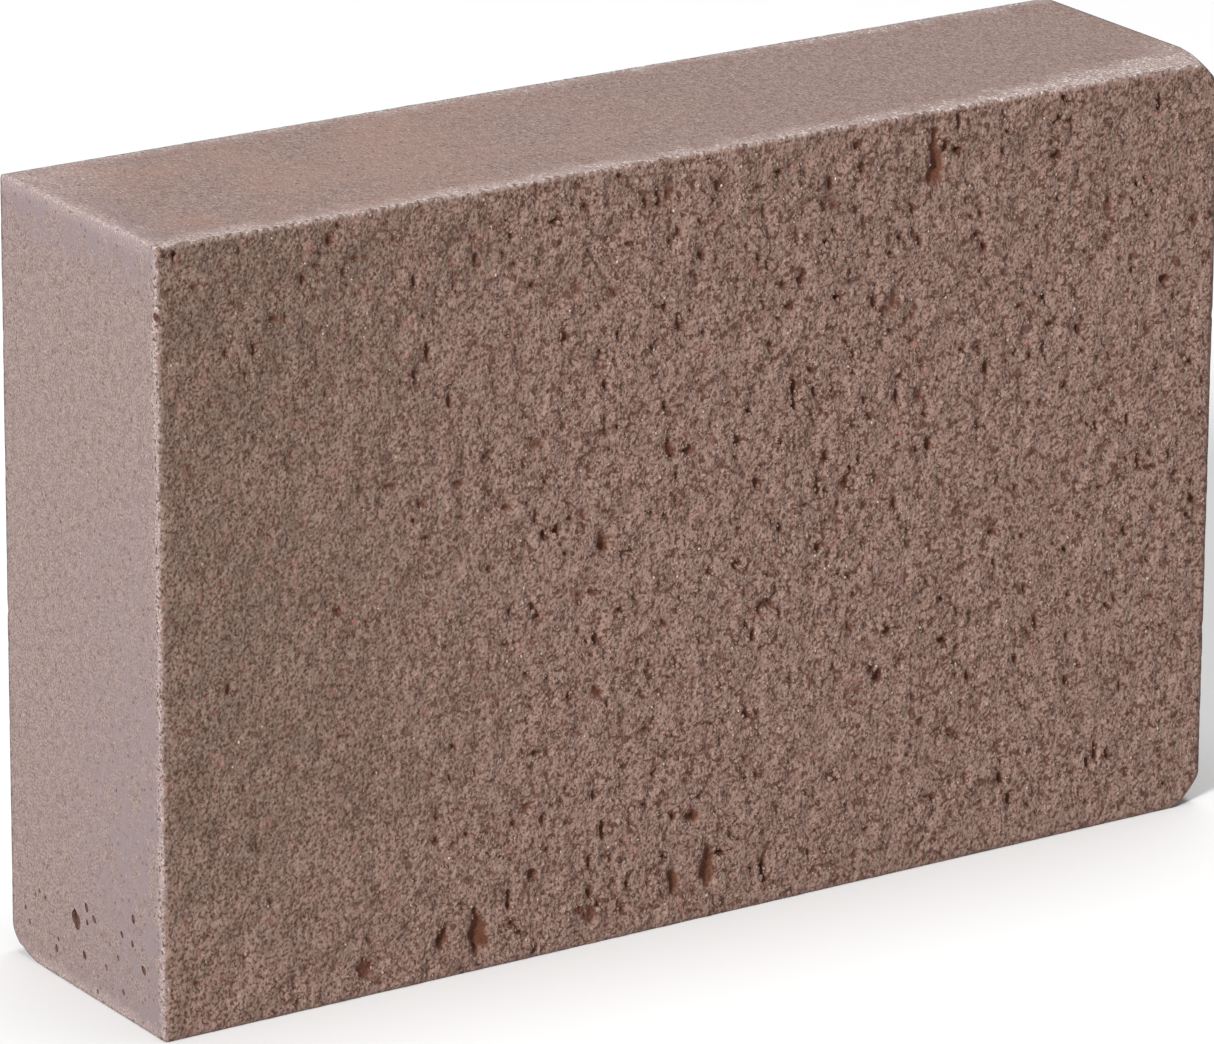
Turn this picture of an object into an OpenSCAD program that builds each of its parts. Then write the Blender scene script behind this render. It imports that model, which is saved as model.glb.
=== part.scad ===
// Abrasive hand block: one slab of grit-filled rubber, moulded and sawn to size.
// It stands on its long narrow side. X runs along its length, Y through its
// thickness with the front working face towards -Y, and Z points up. The origin
// is the middle of the face that it stands on. All sizes are in millimetres.

/* [Block] */
// Length of the block
length = 80; // [60:1:120]
// Thickness between the two working faces
thickness = 19; // [15:0.5:30]
// Height of the block as it stands
height = 51.3; // [45:0.1:80]

/* [Edges and corners] */
// Radius along the ordinary edges
edge_r = 0.4; // [0.2:0.1:0.8]
// Radius of the moulded edge between the back and the underside
moulded_r = 2.2; // [1:0.1:4]
// Radius of the two worn corners at the right end, where they meet the front
worn_r = 2.4; // [1.5:0.1:4]
// How far the worn corners reach back from the front
worn_depth = 3; // [2:0.5:8]

/* [Pores and tears] */
// Diameter of the largest air pore in the left end
pore_d = 1.2; // [0.6:0.1:2]
// Depth of the deepest tears in the working faces
tear_depth = 0.6; // [0.3:0.1:1]

/* [Grit] */
// Size of a coarse grain
grain = 0.7; // [0.4:0.05:1]
// Columns of coarse grains that show in each working face
grain_columns = 11; // [6:1:14]
// Rows of coarse grains that show in each working face
grain_rows = 6; // [4:1:8]
// Every so many grains, one is red
red_every = 23; // [7:1:40]

/* [Hidden] */

left = -length / 2;
right = length / 2;
front = -thickness / 2;
back = thickness / 2;
over = 1;         // how far a cutting tool runs past the faces that it cuts
$fn = 48;

// Air pores in the left end: how far each one lies behind the front, how high
// up, and its share of pore_d.
pores = [
    [10.9, 4.7, 1.0], [9.5, 5.9, 0.4], [8.5, 5.3, 0.45], [9.9, 2.6, 0.4],
    [2.6, 4.0, 0.5], [3.8, 7.0, 0.4], [5.2, 5.4, 0.35], [3.9, 5.3, 0.35],
    [5.4, 3.4, 0.3], [13.4, 2.6, 0.35], [15.8, 4.9, 0.3], [12.2, 30.5, 0.25]
];

// Tears in a working face, where lumps pulled out as the face was sawn: how far
// along and how high each one lies, its length, and its share of tear_depth.
tears = [
    [17.5, 47.5, 2.6, 1.0], [28, 47.9, 1.4, 0.6], [12, 47.8, 1.2, 0.6],
    [-3, 48.2, 1.5, 0.7], [-10, 43.5, 1.4, 0.7], [31.5, 42.5, 1.1, 0.7],
    [14.5, 39, 1.3, 0.6], [-33, 43.5, 1.8, 0.5], [16.5, 32, 1.0, 0.6],
    [-7.5, 26.5, 1.5, 0.8], [10, 24.5, 1.2, 0.8], [-17, 2.8, 1.8, 1.0],
    [-19.8, 2.6, 1.0, 0.9], [0.5, 3.5, 2.2, 1.0], [-2.5, 2.8, 1.2, 0.8],
    [-8.5, 2.4, 1.0, 0.6], [-25.5, 2.2, 1.0, 0.5]
];

// One coarse grain for every cell of a grid, set off from the middle of its cell.
margin = 4;          // the strip inside a face's outline with no coarse grain
tear_gap = 1.6;      // the least distance from a grain's middle to the end of a tear
sink = 0.1;          // how deep a grain's middle lies, as a share of its size
cell_w = (length - 2 * margin) / grain_columns;
cell_h = (height - 2 * margin) / grain_rows;
cells = grain_columns * grain_rows;
shift_x = rands(-0.32, 0.32, cells, 11);
shift_z = rands(-0.32, 0.32, cells, 23);
scatter = rands(0.8, 1.2, cells, 5);
turn = rands(0, 90, 3 * cells, 37);

function grain_x(i) = left + margin + ((i % grain_columns) + 0.5 + shift_x[i]) * cell_w;
function grain_z(i) = margin + (floor(i / grain_columns) + 0.5 + shift_z[i]) * cell_h;
function gap_to(i, t) = norm([grain_x(i) - t[0], grain_z(i) - t[1]]) - t[2] / 2;
function is_clear(i) = min([for (t = tears) gap_to(i, t)]) > tear_gap;
function kind_of(i) = i % red_every == 12 ? "red" : i % 2 == 0 ? "dark" : "clear";

// The same on both working faces: the back has the front's pattern, turned
// half way round.
module both_faces() {
    children();
    rotate([0, 0, 180]) children();
}

// A splintery grain: a cube with its corners broken off by a second cube.
module shard(size) {
    intersection() {
        cube(size, center = true);
        rotate([40, 35, 15]) cube(size * 1.05, center = true);
    }
}

// The coarse grains of one kind, before the saw cuts their tops off.
module whole_grains(kind) {
    both_faces()
        for (i = [0 : cells - 1])
            if (kind_of(i) == kind && is_clear(i))
                translate([grain_x(i), front + sink * grain, grain_z(i)])
                    rotate([turn[3 * i], turn[3 * i + 1], turn[3 * i + 2]])
                        shard(grain * scatter[i]);
}

// The coarse grains of one kind, cut flush with the working faces.
module sawn_grains(kind) {
    intersection() {
        whole_grains(kind);
        translate([left, front, 0]) cube([length, thickness, height]);
    }
}

// What is cut off an edge that runs along X from the origin, where the solid
// lies towards +Y and +Z.
module edge_tool(r, run) {
    difference() {
        translate([-over, -over, -over])
            cube([run + 2 * over, r + over, r + over]);
        translate([-2 * over, r, r]) rotate([0, 90, 0])
            cylinder(h = run + 4 * over, r = r);
    }
}

// The four edges along the length. The one at the back of the underside was
// rounded by the mould.
module long_edges() {
    translate([left, front, 0]) edge_tool(edge_r, length);
    translate([left, front, height]) rotate([-90, 0, 0]) edge_tool(edge_r, length);
    translate([left, back, height]) rotate([180, 0, 0]) edge_tool(edge_r, length);
    translate([left, back, 0]) rotate([90, 0, 0]) edge_tool(moulded_r, length);
}

// The four upright edges.
module upright_edges() {
    for (end = [0, 1], face = [0, 1])
        mirror([end, 0, 0]) mirror([0, face, 0])
            translate([left, front, height]) rotate([0, 90, 0])
                edge_tool(edge_r, height);
}

// The four edges through the thickness, two at each end.
module cross_edges() {
    for (end = [0, 1])
        mirror([end, 0, 0]) {
            translate([left, back, 0]) rotate([0, 0, -90])
                edge_tool(edge_r, thickness);
            translate([left, front, height]) rotate([180, 0, 90])
                edge_tool(edge_r, thickness);
        }
}

// What wear takes off a corner that lies at the origin, where the solid lies
// towards -X, +Y and -Z: a four-sided point that dies out behind the front,
// less a cone that just touches the two faces that meet in the edge.
module wear_tool() {
    slope = worn_r / worn_depth;
    forward = 1 / sqrt(1 + 2 * slope * slope);
    half_angle = asin(slope * forward);
    reach = 2 * worn_depth + over;
    wide = 2 * worn_r + over;
    translate([0, worn_depth, 0])
        difference() {
            intersection() {
                rotate([0, 0, -atan(slope)])
                    translate([0, -reach, -wide]) cube([wide, reach, 2 * wide]);
                rotate([atan(slope), 0, 0])
                    translate([-wide, -reach, 0]) cube([2 * wide, reach, wide]);
            }
            rotate([acos(-slope * forward), 0, -atan(slope)])
                cylinder(h = reach * 1.5, r1 = 0, r2 = reach * 1.5 * tan(half_angle));
        }
}

// The two worn corners at the right end of the front.
module worn_corners() {
    translate([right, front, height]) wear_tool();
    translate([right, front, 0]) mirror([0, 0, 1]) wear_tool();
}

// One tear: a furrow that runs up the face, with round ends.
module tear(run, depth) {
    straight = max(run - 2 * depth, 0.1);
    translate([0, 0, -straight / 2]) {
        sphere(depth);
        cylinder(h = straight, r = depth);
        translate([0, 0, straight]) sphere(depth);
    }
}

module all_tears() {
    both_faces()
        for (t = tears)
            translate([t[0], front, t[1]]) tear(t[2], tear_depth * t[3]);
}

module all_pores() {
    for (p = pores)
        translate([left, front + p[0], p[1]]) sphere(d = pore_d * p[2]);
}

// The outside of the block, with its edges and corners rounded.
module rounded_block() {
    difference() {
        translate([left, front, 0]) cube([length, thickness, height]);
        long_edges();
        upright_edges();
        cross_edges();
        worn_corners();
    }
}

// The bonded body: rubber, filled all through with fine grit.
module rubber_body() {
    color([0.53, 0.42, 0.38])
        difference() {
            rounded_block();
            all_tears();
            all_pores();
            whole_grains("dark");
            whole_grains("clear");
            whole_grains("red");
        }
}

// Coarse grains of dark, of glassy and of red abrasive that show in the faces.
module dark_grit() { color([0.20, 0.15, 0.14]) sawn_grains("dark"); }
module clear_grit() { color([0.86, 0.82, 0.78]) sawn_grains("clear"); }
module red_grit() { color([0.62, 0.20, 0.22]) sawn_grains("red"); }

rubber_body();
dark_grit();
clear_grit();
red_grit();
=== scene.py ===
"""Abrasive hand block: grit-filled rubber with two sawn working faces."""

import math

import bmesh
import bpy
import numpy as np
from mathutils import Euler, Matrix, Vector, noise


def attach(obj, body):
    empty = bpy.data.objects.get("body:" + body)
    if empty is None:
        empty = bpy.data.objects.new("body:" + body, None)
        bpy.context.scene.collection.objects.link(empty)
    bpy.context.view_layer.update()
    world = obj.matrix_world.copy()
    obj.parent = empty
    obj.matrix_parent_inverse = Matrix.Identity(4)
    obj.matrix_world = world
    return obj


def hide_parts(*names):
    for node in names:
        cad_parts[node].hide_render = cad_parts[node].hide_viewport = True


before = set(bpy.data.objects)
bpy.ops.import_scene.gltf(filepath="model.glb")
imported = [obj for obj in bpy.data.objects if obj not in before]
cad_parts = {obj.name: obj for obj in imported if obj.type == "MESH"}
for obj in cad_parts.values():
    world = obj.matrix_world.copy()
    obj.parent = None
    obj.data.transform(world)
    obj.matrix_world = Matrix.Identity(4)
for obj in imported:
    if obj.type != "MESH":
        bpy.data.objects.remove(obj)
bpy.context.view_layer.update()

# ---------------------------------------------------------------------------
# The block. One slab of rubber filled all through with fine abrasive grit. Its
# ends, top and underside keep the smooth skin of the mould. The two large faces
# were sawn through, which tore the rubber into fine crumbs, furrows and pits.
MM = 0.001
LENGTH, THICKNESS, HEIGHT = 80.0, 19.0, 51.3
LEFT, RIGHT = -LENGTH / 2, LENGTH / 2
FRONT, BACK = -THICKNESS / 2, THICKNESS / 2
CELLS_X, CELLS_Y, CELLS_Z = 250, 18, 160
# How far the cells of the thickness crowd towards the two sawn faces, up to 1.
CROWDING = 0.82
# The ordinary edges, and the moulded one, which is deeper than it is high.
EDGE_R = 0.15
MOULDED_R = 2.0
MOULDED_SPREAD = 1.8
# The two worn corners at the right end, and how far back they die out. The
# lower one is a little smaller, and nearly a chamfer.
WORN_R = 2.4
WORN_DEPTH = 4.5
LOWER_SHARE, LOWER_POWER = 0.9, 1.3
# The chip in the left arris of the front: how high up, how tall and how deep.
CHIP_Z, CHIP_TALL, CHIP_DEEP = 46.5, 0.4, 0.7

# Tears in the front: how far along, how high, length, width and depth, in mm.
# The back has the same ones, turned half way round.
TEARS = [
    (17.4, 47.9, 3.2, 1.0, 0.55), (28.1, 48.5, 1.7, 0.7, 0.35), (11.8, 48.4, 1.5, 0.7, 0.35),
    (-3.0, 48.9, 1.7, 0.7, 0.35), (0.9, 49.1, 1.4, 0.6, 0.30), (6.3, 49.3, 1.4, 0.6, 0.30),
    (4.0, 46.7, 1.3, 0.5, 0.25), (-9.9, 43.8, 1.6, 0.7, 0.35), (31.4, 42.9, 1.6, 0.7, 0.35),
    (-33.2, 43.5, 2.2, 0.4, 0.25), (26.6, 40.8, 1.2, 0.5, 0.25), (14.5, 39.3, 1.5, 0.7, 0.30),
    (-13.2, 34.2, 1.2, 0.6, 0.25), (16.6, 32.5, 1.2, 0.6, 0.30), (-7.7, 26.9, 1.8, 0.7, 0.45),
    (10.2, 24.7, 1.3, 0.6, 0.35), (32.0, 21.2, 1.0, 0.6, 0.25), (-17.1, 2.3, 2.6, 1.1, 0.60),
    (-19.8, 2.7, 1.4, 0.8, 0.50), (0.5, 3.6, 2.6, 0.9, 0.50), (-2.4, 3.0, 1.6, 0.7, 0.40),
    (-8.5, 2.0, 1.2, 0.6, 0.30), (-6.2, 1.8, 1.3, 0.6, 0.30), (-25.5, 1.6, 1.4, 0.8, 0.35),
]
# Air pores in the left end: how far from the back, how high, and how wide.
PORES = [
    (8.1, 4.7, 1.15), (9.4, 5.9, 0.50), (10.4, 5.4, 0.50), (9.5, 4.9, 0.35), (9.1, 2.6, 0.50),
    (16.4, 4.0, 0.60), (15.2, 7.0, 0.50), (13.8, 5.5, 0.40), (15.1, 5.3, 0.40),
    (13.3, 3.8, 0.35), (13.9, 1.7, 0.35), (5.6, 1.9, 0.40), (5.8, 2.6, 0.30), (2.2, 2.6, 0.30),
    (1.7, 3.4, 0.30), (3.5, 5.1, 0.28), (3.0, 4.7, 0.30), (4.2, 4.9, 0.30), (11.8, 2.7, 0.30),
    (10.7, 0.7, 0.30), (6.9, 30.6, 0.25), (13.3, 14.9, 0.25), (18.8, 46.7, 0.70),
]


def hills(x, z, size, seed, stretch=1.5):
    """Noise from -1 to 1 with features about this size, drawn out up the face."""
    return noise.noise(Vector((x / size, seed, z / (size * stretch))))


def between(value, low, high):
    """0 at low and 1 at high, with no more on either side."""
    return max(0.0, min(1.0, (value - low) / (high - low)))


def tear_depth(x, z):
    """Ragged furrows, deepest along their middle."""
    depth = 0.0
    for tear_x, tear_z, run, wide, deep in TEARS:
        if abs(x - tear_x) < wide * 1.5 and abs(z - tear_z) < run:
            bent = x - tear_x + 0.35 * hills(x, z, 0.8, 31.7)
            ragged = 1.25 + 0.6 * hills(x, z, 0.5, 12.3)
            away = math.hypot(bent / wide, (z - tear_z) / run) * 2 / ragged
            depth = max(depth, deep * (1 - min(1.0, away)) ** 0.6)
    return depth


def coarseness(x, z):
    """How roughly the saw tore the face here.

    It is finer in the left third, and rubbed smooth along the lower right edge.
    """
    patchy = 0.12 * hills(x, z, 14, 77.7, 1.0) - 0.08 * between(x, 14, 34)
    fine_left = between(x, -10, -30) * between(abs(z - 22), 26, 8)
    rubbed = 0.55 * between(z, 2.2, 0.8) * between(x, 4, 16)
    return 1.0 + patchy - 0.36 * fine_left - 0.2 * between(x, -14, -34) - rubbed


def relief(x, z, side):
    """How far the sawn face stands out here, in mm."""
    seed = 3.1 if side < 0 else 57.9
    lump = hills(x, z, 0.6, seed, 1.4)
    clod = hills(x, z, 1.1, seed + 9, 1.6)
    swell = hills(x, z, 2.6, seed + 17, 1.6)
    pit = max(0.0, -hills(x, z, 0.5, seed + 23, 1.5) - 0.20)
    pit *= max(0.0, 0.75 + 1.2 * hills(x, z, 2.0, seed + 29, 1.5))
    height = 0.08 * lump + 0.16 * clod + 0.08 * swell - 0.9 * pit
    return coarseness(x, z) * height - tear_depth(-side * x, z)


def arris_r(z):
    """The ragged left arris of the front, with one larger chip near the top."""
    torn = max(0.0, hills(0, z, 0.35, 8.8)) + 0.5 * max(0.0, hills(5, z, 1.7, 8.8))
    chip = CHIP_DEEP * math.exp(-(((z - CHIP_Z) / CHIP_TALL) ** 2))
    return EDGE_R + 0.6 * torn + chip


def rounded(u, v, r, power=2.0):
    """Moves a point u and v away from an edge's two faces onto its rounding.

    A power of 2 makes it round, and one nearer to 1 makes it more of a chamfer.
    """
    if u >= r or v >= r:
        return u, v
    a, b = 1 - u / r, 1 - v / r
    pull = max(a, b) / (max(a, 0) ** power + max(b, 0) ** power) ** (1 / power)
    return r - a * pull * r, r - b * pull * r


bm = bmesh.new()
bmesh.ops.create_cube(bm, size=1)
for axis, cells in ((0, CELLS_X), (2, CELLS_Z), (1, CELLS_Y)):
    along = [
        e for e in bm.edges if abs(e.verts[0].co[axis] - e.verts[1].co[axis]) > 0.9
    ]
    bmesh.ops.subdivide_edges(bm, edges=along, cuts=cells - 1, use_grid_fill=False)

sawn_at, relief_at = [], []
for v in bm.verts:
    x, y, z = v.co
    on_sawn = abs(abs(y) - 0.5) < 1e-4
    side = -1 if y < 0 else 1
    x = (x + 0.5) * LENGTH + LEFT
    z = (z + 0.5) * HEIGHT
    y -= CROWDING * math.sin(2 * math.pi * (y + 0.5)) / (2 * math.pi)
    y *= THICKNESS
    inset = min(x - LEFT, RIGHT - x, z, HEIGHT - z)
    worn_part = min(1.0, (y - FRONT) / WORN_DEPTH)
    worn = max(EDGE_R, WORN_R * (1 - worn_part) ** 1.5)
    to_right, to_top = rounded(RIGHT - x, HEIGHT - z, worn)
    x, z = RIGHT - to_right, HEIGHT - to_top
    to_right, z = rounded(RIGHT - x, z, worn * LOWER_SHARE, LOWER_POWER)
    x = RIGHT - to_right
    to_left, to_top = rounded(x - LEFT, HEIGHT - z, EDGE_R)
    x, z = LEFT + to_left, HEIGHT - to_top
    to_left, z = rounded(x - LEFT, z, EDGE_R)
    x = LEFT + to_left
    rough_out = relief(x, z, side) * between(inset, -0.25, 0.6) if on_sawn else 0.0
    y += side * rough_out
    to_left, from_front = rounded(x - LEFT, y - FRONT, arris_r(z))
    x, y = LEFT + to_left, FRONT + from_front
    from_back, z = rounded((BACK - y) / MOULDED_SPREAD, z, MOULDED_R)
    y = BACK - from_back * MOULDED_SPREAD
    from_back, to_top = rounded(BACK - y, HEIGHT - z, EDGE_R)
    y, z = BACK - from_back, HEIGHT - to_top
    from_front, z = rounded(y - FRONT, z, EDGE_R)
    y = FRONT + from_front
    from_front, to_top = rounded(y - FRONT, HEIGHT - z, EDGE_R)
    y, z = FRONT + from_front, HEIGHT - to_top
    v.co = Vector((x, y, z)) * MM
    sawn_at.append(between(inset, -0.1, 0.3) if on_sawn else 0.0)
    relief_at.append(rough_out)

block_mesh = bpy.data.meshes.new("rubber_block")
bm.to_mesh(block_mesh)
bm.free()
for name, values in (("sawn", sawn_at), ("relief", relief_at)):
    block_mesh.attributes.new(name, "FLOAT", "POINT").data.foreach_set("value", values)
block_mesh.shade_smooth()
block = bpy.data.objects.new("rubber_block", block_mesh)
bpy.context.collection.objects.link(block)


class Wire:
    """One value on its way through a material's nodes."""

    def __init__(self, tree, out=None):
        self.tree, self.out = tree, out

    def node(self, kind, settings, sockets, out=0):
        """Adds any node: its settings first, then its sockets' values or links."""
        made = self.tree.nodes.new(kind)
        for name, value in settings.items():
            setattr(made, name, value)
        for name, value in sockets.items():
            if isinstance(value, Wire):
                self.tree.links.new(value.out, made.inputs[name])
            else:
                made.inputs[name].default_value = value
        return Wire(self.tree, made.outputs[out] if made.outputs else None)

    def maths(self, operation, *values):
        settings = {"operation": operation}
        return self.node("ShaderNodeMath", settings, dict(enumerate(values)))

    def __add__(self, other):
        return self.maths("ADD", self, other)

    def __sub__(self, other):
        return self.maths("SUBTRACT", self, other)

    def __rsub__(self, other):
        return self.maths("SUBTRACT", other, self)

    def __mul__(self, other):
        return self.maths("MULTIPLY", self, other)

    __radd__, __rmul__ = __add__, __mul__

    def most(self, other):
        return self.maths("MAXIMUM", self, other)

    def unsigned(self):
        return self.maths("ABSOLUTE", self)

    def ramp(self, low, high):
        """0 at low and 1 at high, with no more on either side."""
        sockets = {"Value": self, "From Min": low, "From Max": high}
        return self.node("ShaderNodeMapRange", {}, sockets)

    def mix(self, first, second):
        """One colour where this is 0 and another where it is 1."""
        sockets = {0: self, 6: first, 7: second}
        return self.node("ShaderNodeMix", {"data_type": "RGBA"}, sockets, out=2)


class Finish:
    """A new material, with the coordinates and patterns that it is made of."""

    def __init__(self, name):
        self.material = bpy.data.materials.new(name)
        self.material.use_nodes = True
        self.material.node_tree.nodes.clear()
        self.wire = Wire(self.material.node_tree)
        metres = self.wire.node("ShaderNodeTexCoord", {}, {}, out="Object")
        sockets = {"Vector": metres, "Scale": (1 / MM, 1 / MM, 1 / MM)}
        self.place = self.wire.node("ShaderNodeMapping", {}, sockets)
        self.x, self.y, self.z = (
            self.wire.node("ShaderNodeSeparateXYZ", {}, {"Vector": self.place}, out=axis)
            for axis in "XYZ"
        )

    def clouds(self, per_mm, detail=1.0):
        """Noise round 0.5, with so many features to the millimetre."""
        sockets = {"Vector": self.place, "Scale": per_mm, "Detail": detail}
        return self.wire.node("ShaderNodeTexNoise", {}, sockets)

    def dots(self, per_mm, radius):
        """Separate round dots of this radius in mm, spread at random."""
        sockets = {"Vector": self.place, "Scale": per_mm}
        near = self.wire.node("ShaderNodeTexVoronoi", {}, sockets, out="Distance")
        return near.ramp(radius * per_mm * 1.2, radius * per_mm * 0.7)

    def painted(self, name):
        """A value that the mesh itself holds at each of its points."""
        return self.wire.node("ShaderNodeAttribute", {"attribute_name": name}, {}, out="Fac")

    def shade(self, colour, roughness, height, specular=0.3):
        """Ends the material. The height is in millimetres."""
        bump = {"Height": height, "Distance": MM, "Strength": 1.0}
        sockets = {
            "Base Color": colour,
            "Roughness": roughness,
            "Specular IOR Level": specular,
            "Normal": self.wire.node("ShaderNodeBump", {}, bump),
        }
        surface = self.wire.node("ShaderNodeBsdfPrincipled", {}, sockets)
        self.wire.node("ShaderNodeOutputMaterial", {}, {"Surface": surface})
        return self.material


# The sawn faces: pinkish brown, with duller patches, and peppered with dark
# specks that are partly the torn rubber's darker colour, partly painted shade of holes.
PALE_GRIT = (0.370, 0.275, 0.235, 1)
DULL = (0.141, 0.093, 0.071, 1)
ROSY = (0.250, 0.120, 0.100, 1)
DARK_SPECK_AND_SHADE = (0.076, 0.029, 0.017, 1)
PIT_TONE_AND_SHADE = (0.074, 0.030, 0.018, 1)
HOLE_RUBBER_AND_SHADE = (0.090, 0.030, 0.015, 1)


def sawn_look(f, pale, light):
    """The colour of torn rubber: finer specks and duller patches at the left. Its dark specks
    and blots are partly painted shade of small holes.
    """
    fine = f.clouds(5.2)
    fleck = f.clouds(2.5)
    blot = f.clouds(1.5)
    mottle = f.clouds(1.3, 2.0)
    coarse = f.x.ramp(-34, -10) * 0.5 + 0.5
    patch = f.clouds(0.4, 2.0).ramp(0.40, 0.66)
    dull = patch * (f.z.ramp(38, 50) * 0.4 + f.x.ramp(-14, -34) * 0.35 + 0.2)
    dull = dull + f.x.ramp(-10, -34) * f.z.ramp(2, 14) * 0.6
    colour = mottle.ramp(0.35, 0.65).mix(pale, light)
    colour = dull.mix(colour, DULL)
    colour = (fine.ramp(0.56, 0.70) * 0.28).mix(colour, PALE_GRIT)
    # The dark specks and blots below are partly the rubber's darker colour, partly painted
    # shade of small holes.
    colour = (fine.ramp(0.45, 0.37) * (1.05 - 0.35 * coarse)).mix(colour, DARK_SPECK_AND_SHADE)
    colour = (fleck.ramp(0.42, 0.35) * coarse * 0.85).mix(colour, DARK_SPECK_AND_SHADE)
    colour = (blot.ramp(0.37, 0.29) * coarse * 0.8).mix(colour, PIT_TONE_AND_SHADE)
    rosy = f.clouds(0.9).ramp(0.66, 0.74) * 0.35
    return rosy.mix(colour, ROSY)


f = Finish("grit_filled_rubber")
fine = f.clouds(5.2)
grain = f.clouds(2.4)
sawn_colour = sawn_look(f, (0.201, 0.124, 0.097, 1), (0.243, 0.156, 0.127, 1))
# Deeper in the pits and tears the colour darkens: partly the redder rubber there, partly
# painted shade.
sawn_colour = f.painted("relief").ramp(-0.08, -0.27).mix(sawn_colour, HOLE_RUBBER_AND_SHADE)
sawn_height = fine * 0.10 + grain * 0.20

# The moulded skin: warm brown, with a lavender bloom towards the lower front of
# the left end, and frosted bands of pale grit worn bare along the arrises. The
# bands also carry painted highlight where the arrises catch the light; the glints
# on the top are painted highlights, and the dark pinholes and splits painted shade.
SKIN_DARK, SKIN_PALE = (0.146, 0.100, 0.088, 1), (0.253, 0.189, 0.170, 1)
WARM = (0.265, 0.168, 0.137, 1)
LAVENDER = (0.188, 0.145, 0.147, 1)
FROST_DARK, FROST_PALE = (0.262, 0.195, 0.178, 1), (0.480, 0.400, 0.380, 1)
GLINT = (0.640, 0.570, 0.550, 1)
SPLIT_SHADE = (0.09, 0.05, 0.038, 1)
PINHOLE_SHADE = (0.085, 0.048, 0.038, 1)
PALE_DOT = (0.44, 0.38, 0.36, 1)
wander = f.clouds(0.55, 3.0)
speck = f.clouds(6.6)
worm = f.clouds(1.6, 2.0)
soft = f.clouds(0.16, 2.0)
skin_tone = speck * 0.7 + worm * 0.3
skin = skin_tone.ramp(0.43, 0.57).mix(SKIN_DARK, SKIN_PALE)
on_top = f.z.ramp(HEIGHT - 0.35, HEIGHT - 0.1)
on_left = f.x.ramp(LEFT + 0.35, LEFT + 0.1)
reddish = on_top * soft.ramp(0.42, 0.60) * f.x.ramp(6, -14)
lavender = on_left * (f.y.ramp(4, -7) * f.z.ramp(40, 12) * 0.8 + 0.2)
lavender = lavender + on_left * f.z.ramp(HEIGHT - 4, HEIGHT - 1) * 0.9
lavender = lavender + on_top * f.x.ramp(LEFT + 4.5, LEFT + 0.5) * 0.7
lavender = lavender * wander.ramp(0.3, 0.6)
skin = (on_top * 0.25 + reddish * 0.35).mix(skin, WARM)
skin = lavender.mix(skin, LAVENDER)
strayed = (wander - 0.5) * 3.0 + (speck - 0.5) * 2.0
front_band = f.y + f.x.ramp(18, RIGHT) * -2.6 + strayed
# The pale bands along the arrises are partly grit worn bare, partly painted highlight where
# the arrises catch the light.
pale = on_top * front_band.ramp(FRONT + 1.9, FRONT + 0.2)
pale = pale.most(on_top * (f.y - strayed * 0.7).ramp(BACK - 1.5, BACK - 0.1) * 0.9)
pale = pale.most(on_top * (f.x + strayed).ramp(LEFT + 1.9, LEFT + 0.2) * 0.6)
pale = pale.most(on_top * (f.x - f.y * 0.6 + strayed * 2.0).ramp(LEFT + 4, LEFT - 4) * 0.6)
pale = pale.most(on_top * (f.y - f.x + strayed * 2.0).ramp(-RIGHT - 1, -RIGHT - 6) * 0.7)
pale = pale.most(on_left * (f.z - strayed * 0.5).ramp(HEIGHT - 1.2, HEIGHT - 0.4) * 0.35)
pale = pale.most(on_left * (f.z + strayed * 0.5).ramp(1.1, 0.3) * 0.6)
pale = pale.most(on_left * (f.y + strayed * 0.4).ramp(FRONT + 1.1, FRONT + 0.5) * 0.6)
frost_and_highlight = speck.ramp(0.48, 0.66).mix(FROST_DARK, FROST_PALE)
skin = pale.mix(skin, frost_and_highlight)
# Glints: small pale dots on the top, thickest in the pale bands, painted as highlights of
# glassy grit.
glinting = on_top * (pale * (f.x.ramp(-25, 20) * 0.55 + 0.25) + 0.15)
skin = (f.dots(2.3, 0.10) * glinting).mix(skin, GLINT)
# Along the ragged front arris of the left end, dark splits are painted shade in the torn skin.
ragged = on_left * (f.y + strayed * 0.3).ramp(FRONT + 1.0, FRONT + 0.5)
skin = (ragged * f.clouds(3.6).ramp(0.44, 0.36)).mix(skin, SPLIT_SHADE)
# Dark pinholes all over the skin: painted shade of tiny holes.
skin = (f.dots(1.5, 0.12) * 0.6).mix(skin, PINHOLE_SHADE)
skin = (f.dots(1.9, 0.07) * 0.35).mix(skin, PALE_DOT)
skin_height = skin_tone * 0.15 + ragged * grain * 0.25

# The saw's torn texture reaches raggedly over the arrises.
from_middle = f.y.unsigned() + (grain - 0.5) * 1.3
sawn = f.painted("sawn")
sawn = sawn.most(from_middle.ramp(BACK - 0.20, BACK + 0.05) * 0.85)
colour = sawn.mix(skin, sawn_colour)
height = sawn * sawn_height + (1 - sawn) * skin_height
block_mesh.materials.append(f.shade(colour, 0.85, height))

# The walls of the pores, where the reddish rubber shows with no skin on it, darkened in
# patches towards painted shade.
WALL_SHADE, WALL_PALE = (0.050, 0.022, 0.016, 1), (0.14, 0.070, 0.052, 1)
f = Finish("pore_wall")
wall = f.clouds(3.0).ramp(0.3, 0.7).mix(WALL_SHADE, WALL_PALE)
pore_wall = f.shade(wall, 0.9, f.clouds(4.0) * 0.08)

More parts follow.
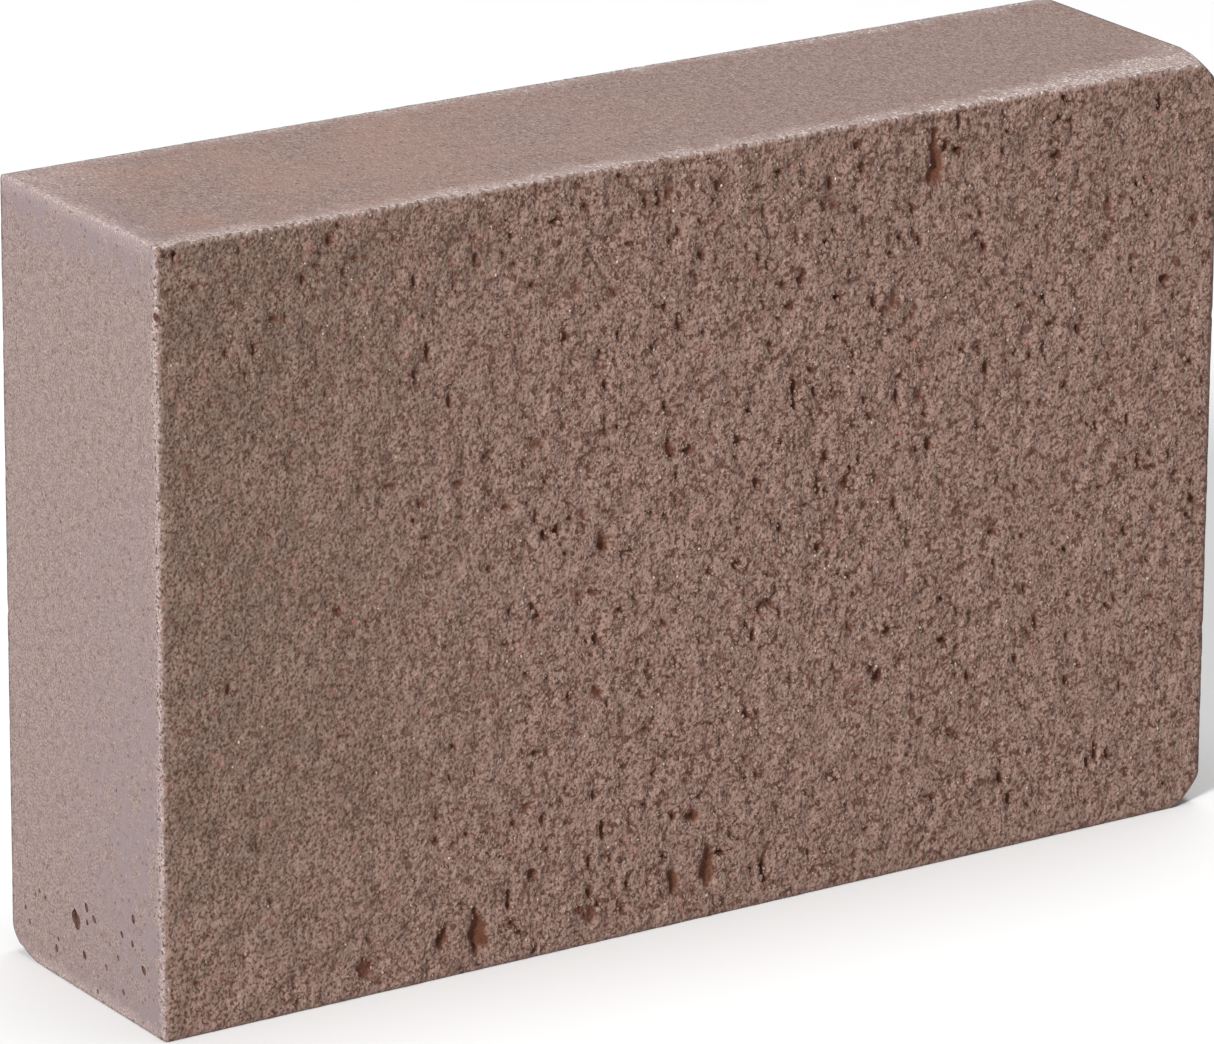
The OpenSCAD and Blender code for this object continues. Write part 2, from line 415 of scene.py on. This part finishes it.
# Each pore is a lopsided bubble, taller than it is wide, that leans towards the
# back as it rises. The skin cuts it open near its middle.
BUBBLE_SHAPE = Matrix.Diagonal((0.9, 0.8, 1.25)).to_4x4()
bm = bmesh.new()
for i, (from_back, high, wide) in enumerate(PORES):
    fineness, ragged = (3, 0.6) if wide > 1 else (2, 0.34)
    radius = wide / 2 * MM
    made = bmesh.ops.create_icosphere(bm, subdivisions=fineness, radius=radius)
    for v in made["verts"]:
        v.co *= 1 + ragged * hills(v.co.x / MM, v.co.z / MM + v.co.y / MM, 0.3, i * 3.3)
    lean = Euler((-0.45 + 0.2 * math.sin(i * 2.4), 0.2 * math.cos(i * 1.7), 0)).to_matrix()
    middle = Vector((LEFT + 0.15 * (wide - 0.45), BACK - from_back, high)) * MM
    seated = Matrix.Translation(middle) @ lean.to_4x4() @ BUBBLE_SHAPE
    bmesh.ops.transform(bm, matrix=seated, verts=made["verts"])
bubbles_mesh = bpy.data.meshes.new("bubbles")
bm.to_mesh(bubbles_mesh)
bm.free()
bubbles_mesh.shade_smooth()
bubbles_mesh.materials.append(pore_wall)
bubbles = bpy.data.objects.new("bubbles", bubbles_mesh)
bpy.context.collection.objects.link(bubbles)
hollow = block.modifiers.new("pores", "BOOLEAN")
hollow.operation, hollow.solver, hollow.object = "DIFFERENCE", "EXACT", bubbles
hollow.material_mode = "TRANSFER"
cut = block.evaluated_get(bpy.context.evaluated_depsgraph_get())
pored_mesh = bpy.data.meshes.new_from_object(cut)
pored_mesh.name = "rubber_block"
bm = bmesh.new()
bm.from_mesh(pored_mesh)
for edge in bm.edges:
    edge.smooth = len({face.material_index for face in edge.link_faces}) == 1
bm.to_mesh(pored_mesh)
bm.free()
block.modifiers.clear()
block.data = pored_mesh
bpy.data.objects.remove(bubbles)
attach(block, "root")
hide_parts("rubber_body")

# ---------------------------------------------------------------------------
# The crumbs. Sawing pulls the rubber's grit up into small torn crumbs that stay
# bonded to the face. Each one is a lump of grit and rubber, a fraction of a
# millimetre across, sunk for more than half of its depth.


# Pits deeper than this, in mm, stay free of crumbs.
BARE_PIT = 0.16


def sawn_y(x, z, side):
    """Where a crumb may sit on a sawn face, or None outside its outline."""
    inset = min(x - LEFT, RIGHT - x, z, HEIGHT - z)
    if inset < (0.1 if side < 0 and x - LEFT == inset else 0.25):
        return None
    for above in (z, HEIGHT - z):
        if side < 0 and RIGHT - x < WORN_R and above < WORN_R:
            if math.hypot(WORN_R - RIGHT + x, WORN_R - above) > WORN_R - 0.25:
                return None
    if side > 0 and z < MOULDED_R:
        return None
    out = relief(x, z, side)
    if out < -BARE_PIT:
        return None
    out *= between(inset, -0.25, 0.6)
    if inset < EDGE_R:
        out -= EDGE_R - math.sqrt(EDGE_R**2 - (EDGE_R - inset) ** 2)
    return side * (THICKNESS / 2 + out)


def crumbs(name, sides, count, small, large, sunk, template, finish, seed):
    """A heap of like crumbs, strewn over the sawn faces and sunk into them."""
    rng = np.random.default_rng(seed)
    spots = []
    while len(spots) < count:
        side = sides[len(spots) % len(sides)]
        x = rng.uniform(LEFT, RIGHT)
        z = rng.uniform(0, HEIGHT)
        clump = hills(x, z, 1.3, seed + 0.5, 1.6)
        if rng.uniform() > 0.62 + 0.9 * clump:
            continue
        y = sawn_y(x, z, side)
        if y is not None:
            spots.append((x, y, z, side, coarseness(x, z)))
    bm = bmesh.new()
    template(bm)
    one = bpy.data.meshes.new(name + "_one")
    bm.to_mesh(one)
    bm.free()
    corners = len(one.vertices)
    heap = bpy.data.objects.new(name + "_heap", one)
    bpy.context.collection.objects.link(heap)
    copies = heap.modifiers.new("copies", "ARRAY")
    copies.count = count
    copies.use_relative_offset = False
    ready = heap.evaluated_get(bpy.context.evaluated_depsgraph_get())
    mesh = bpy.data.meshes.new_from_object(ready)
    mesh.name = name
    bpy.data.objects.remove(heap)
    places = np.zeros(count * corners * 3)
    mesh.vertices.foreach_get("co", places)
    places = places.reshape(count, corners, 3)
    turns = rng.normal(size=(count, 4))
    w, i, j, k = (turns / np.linalg.norm(turns, axis=1, keepdims=True)).T
    turn = np.array([
        [1 - 2 * (j * j + k * k), 2 * (i * j - k * w), 2 * (i * k + j * w)],
        [2 * (i * j + k * w), 1 - 2 * (i * i + k * k), 2 * (j * k - i * w)],
        [2 * (i * k - j * w), 2 * (j * k + i * w), 1 - 2 * (i * i + j * j)],
    ]).transpose(2, 0, 1)
    places *= rng.uniform(0.6, 1.3, (count, corners, 1))
    places = np.einsum("nab,nvb->nva", turn, places)
    size = rng.uniform(0, 1, count) ** 1.6 * (large - small) + small
    places *= size[:, None, None] / 2 * np.array([1.0, 0.75, 1.2])
    x, y, z, side, coarse = np.array(spots).T
    y -= side * size * (sunk + 0.35 * (1 - coarse))
    places += np.stack([x, y, z], axis=1)[:, None, :]
    mesh.vertices.foreach_set("co", (places * MM).ravel())
    tone = np.repeat(rng.uniform(0, 1, count), corners)
    mesh.attributes.new("tone", "FLOAT", "POINT").data.foreach_set("value", tone)
    mesh.shade_smooth()
    mesh.materials.append(finish)
    made = bpy.data.objects.new(name, mesh)
    bpy.context.collection.objects.link(made)
    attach(made, "root")
    return made


def lump(bm):
    """A rounded crumb or grain."""
    bmesh.ops.create_icosphere(bm, subdivisions=1, radius=1)


def splinter(bm):
    """A pointed sliver, for the finest crumbs."""
    bmesh.ops.create_uvsphere(bm, u_segments=4, v_segments=2, radius=1)


f = Finish("torn_rubber_crumb")
tone = f.painted("tone")
pale = tone.mix((0.175, 0.106, 0.082, 1), (0.233, 0.152, 0.123, 1))
light = tone.mix((0.201, 0.126, 0.100, 1), (0.271, 0.185, 0.154, 1))
colour = sawn_look(f, pale, light)
torn_rubber = f.shade(colour, 0.85, f.clouds(5.2) * 0.1, specular=0.2)

# On each sawn face: how many, the smallest and the largest in mm, and how deep
# they sink, as a share of their size.
HEAPS = (
    ("crumbs", 9800, 0.24, 0.5, 0.19, lump),
    ("fines", 24000, 0.14, 0.3, 0.13, splinter),
)
for side, word, first_seed in ((-1, "front", 4), (1, "back", 71)):
    for seed, (kind, count, small, large, sunk, template) in enumerate(HEAPS, first_seed):
        name = f"{word}_{kind}"
        heap = crumbs(name, (side,), count, small, large, sunk, template, torn_rubber, seed)

# ---------------------------------------------------------------------------
# The coarse grit. Splinters of hard abrasive that show in the sawn faces: most
# are dark, some are clear like glass, and a stray one is red. The rubber holds
# each of them for more than half of its depth.
# Each kind's piece, CAD node, slot, number, least and largest size in mm, and
# roughness.
GRIT = (
    ("dark_grains", "dark_grit", "dark_abrasive", 1400, 0.16, 0.36, 0.6),
    ("clear_grains", "clear_grit", "clear_abrasive", 900, 0.12, 0.22, 0.4),
    ("red_grains", "red_grit", "red_abrasive", 16, 0.25, 0.45, 0.8),
)
GRAIN_SUNK = 0.05
GRIT_COLOURS = {
    "dark_grit": ((0.060, 0.030, 0.022, 1), (0.115, 0.066, 0.048, 1)),
    "clear_grit": ((0.290, 0.225, 0.195, 1), (0.440, 0.370, 0.325, 1)),
    "red_grit": ((0.220, 0.070, 0.062, 1), (0.290, 0.100, 0.092, 1)),
}
for seed, (name, node, slot, count, small, large, roughness) in enumerate(GRIT, 200):
    f = Finish(slot)
    colour = f.painted("tone").mix(*GRIT_COLOURS[node])
    cloudy = f.clouds(5.0)
    colour = cloudy.ramp(0.3, 0.7).mix(colour, GRIT_COLOURS[node][0])
    finish = f.shade(colour, roughness, cloudy * 0.05, specular=0.4)
    grains = crumbs(name, (-1, 1), count, small, large, GRAIN_SUNK, lump, finish, seed)
    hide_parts(node)

# ---------------------------------------------------------------------------
# The setting. A plain pale paper floor in a white room, with one soft light at
# the left and one overhead, and a camera that looks down on the left front.
FLOOR_HALF = 3
PAPER = {"Base Color": (0.68, 0.68, 0.68, 1), "Roughness": 0.9}
ROOM_LIGHT = 0.35
AIM_HEIGHT = 0.025
bm = bmesh.new()
bmesh.ops.create_grid(bm, x_segments=1, y_segments=1, size=FLOOR_HALF)
floor_mesh = bpy.data.meshes.new("floor")
bm.to_mesh(floor_mesh)
bm.free()
floor = bpy.data.objects.new("floor", floor_mesh)
bpy.context.collection.objects.link(floor)
paper = bpy.data.materials.new("white_paper")
paper.use_nodes = True
card = Wire(paper.node_tree)
paper.node_tree.nodes.clear()
matt = card.node("ShaderNodeBsdfPrincipled", {}, PAPER)
card.node("ShaderNodeOutputMaterial", {}, {"Surface": matt})
floor_mesh.materials.append(paper)

scene = bpy.context.scene
world = bpy.data.worlds.new("white_room")
world.use_nodes = True
walls = world.node_tree.nodes["Background"]
walls.inputs["Color"].default_value = (1, 1, 1, 1)
walls.inputs["Strength"].default_value = ROOM_LIGHT
scene.world = world
scene.view_settings.view_transform = "Standard"


def studio_light(name, place, size, power):
    """A round soft light that points at the block."""
    lamp = bpy.data.lights.new(name, "AREA")
    lamp.shape, lamp.size, lamp.energy = "DISK", size, power
    held = bpy.data.objects.new(name, lamp)
    held.location = place
    towards = Vector((0, 0, AIM_HEIGHT)) - Vector(place)
    held.rotation_euler = towards.to_track_quat("-Z", "Y").to_euler()
    bpy.context.collection.objects.link(held)


studio_light("left_light", (-1.6, -0.84, 0.87), 0.35, 60.0)
studio_light("overhead_light", (0.2, 0.1, 2.0), 1.2, 27.0)

# The camera's turn, tilt and lean in degrees, and its distance in metres.
azimuth, elevation, roll = map(math.radians, (-33.57, 18.40, 0.39))
DISTANCE = 0.5379
away = Vector((
    math.sin(azimuth) * math.cos(elevation),
    -math.cos(azimuth) * math.cos(elevation),
    math.sin(elevation),
))
target = Vector((-1.20, 0, HEIGHT / 2 - 1.24)) * MM
camera_data = bpy.data.cameras.new("camera")
camera_data.lens = 248.3
camera_data.sensor_width = 36
camera_data.clip_start = 0.01
camera = bpy.data.objects.new("camera", camera_data)
across = Vector((math.cos(azimuth), math.sin(azimuth), 0))
up = away.cross(across)
turned = Matrix((
    across * math.cos(roll) + up * math.sin(roll),
    up * math.cos(roll) - across * math.sin(roll),
    away,
)).transposed()
camera.matrix_world = Matrix.Translation(target + away * DISTANCE) @ turned.to_4x4()
bpy.context.collection.objects.link(camera)
scene.camera = camera
